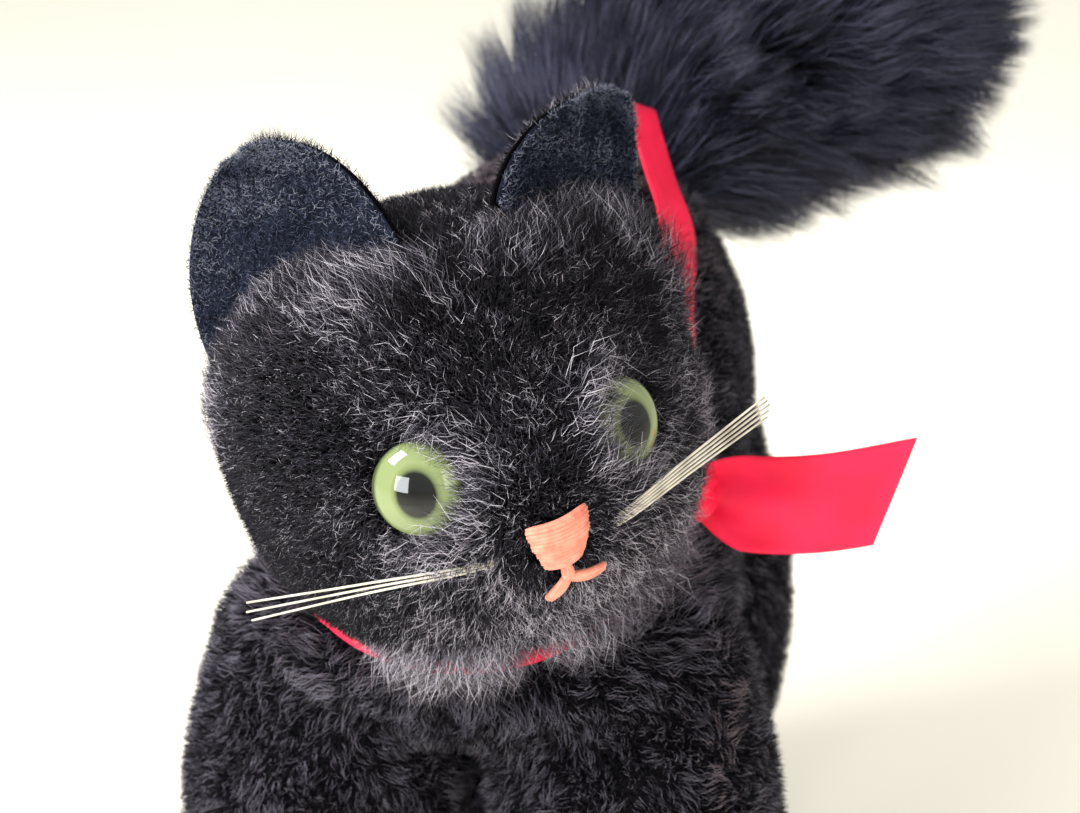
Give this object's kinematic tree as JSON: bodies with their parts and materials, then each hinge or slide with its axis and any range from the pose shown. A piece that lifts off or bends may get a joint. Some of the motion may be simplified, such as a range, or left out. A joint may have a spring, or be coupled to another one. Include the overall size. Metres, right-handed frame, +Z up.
{
  "type": "standing plush cat",
  "caption": "Stuffed mohair cat standing on four stiff legs, with a turning head, wired bushy tail, glass eyes, whiskers and a satin neck ribbon.",
  "frame": {"origin": "on the ground, at the middle of the overall box seen from above", "axes": "+Z up; the body faces -Y; the cat's own left side is +X; at rest the head is turned 33 degrees to its left"},
  "size_m": [0.109, 0.1632, 0.1667],
  "materials": {
    "mohair": "short matted black pile, matt",
    "long_mohair": "long brushed black pile, faint sheen",
    "velvet": "short blue-black velvet with a soft sheen",
    "felt": "pressed wool felt, matt",
    "satin": "woven red satin, bright along the folds",
    "floss": "peach stranded cotton, soft sheen",
    "stuffing": "packed wood-wool, dull",
    "card": "plain grey-brown card",
    "hardboard": "pressed fibre disc, dull",
    "steel": "plain, slightly dull",
    "steel_wire": "drawn wire, slightly dull",
    "eye_glass": "polished glass over a painted back",
    "bristle": "cream nylon bristle, semi-gloss"
  },
  "bodies": {
    "body": {"body_panel_left": "mohair", "body_panel_right": "mohair", "belly_gusset": "mohair", "body_stuffing": "stuffing", "front_leg_wire": "steel_wire", "rear_leg_wire": "steel_wire", "sole_front_left": "felt", "insole_card_front_left": "card", "sole_front_right": "felt", "insole_card_front_right": "card", "sole_rear_left": "felt", "insole_card_rear_left": "card", "sole_rear_right": "felt", "insole_card_rear_right": "card", "neck_disc_body": "hardboard", "neck_washer_body": "steel", "neck_ribbon": "satin"},
    "head": {"head_panel_left": "mohair", "head_panel_right": "mohair", "head_gusset": "mohair", "head_stuffing": "stuffing", "neck_disc_head": "hardboard", "neck_washer_head": "steel", "neck_pin": "steel", "ear_velvet_left": "velvet", "ear_back_left": "mohair", "eye_left": "eye_glass", "eye_wire_left": "steel_wire", "whisker_left_1": "bristle", "whisker_left_2": "bristle", "whisker_left_3": "bristle", "whisker_left_4": "bristle", "whisker_left_5": "bristle", "ear_velvet_right": "velvet", "ear_back_right": "mohair", "eye_right": "eye_glass", "eye_wire_right": "steel_wire", "whisker_right_1": "bristle", "whisker_right_2": "bristle", "whisker_right_3": "bristle", "nose_stitch": "floss", "mouth_stitch": "floss"},
    "tail": {"tail_cover": "long_mohair", "tail_stuffing": "stuffing", "tail_wire": "steel_wire"}
  },
  "joints": [
    {"name": "neck_swivel", "type": "hinge", "parent": "body", "child": "head", "pos_m": [-0.0165, -0.04736, 0.10183], "axis": [0, -0.309, 0.9511], "range_deg": [-111, 45]},
    {"name": "tail_bend", "type": "hinge", "parent": "body", "child": "tail", "pos_m": [-0.0165, 0.04408, 0.113], "axis": [0, 0, 1], "range_deg": [-20, 20], "stiffness_Nm_per_rad": 0.05}
  ]
}
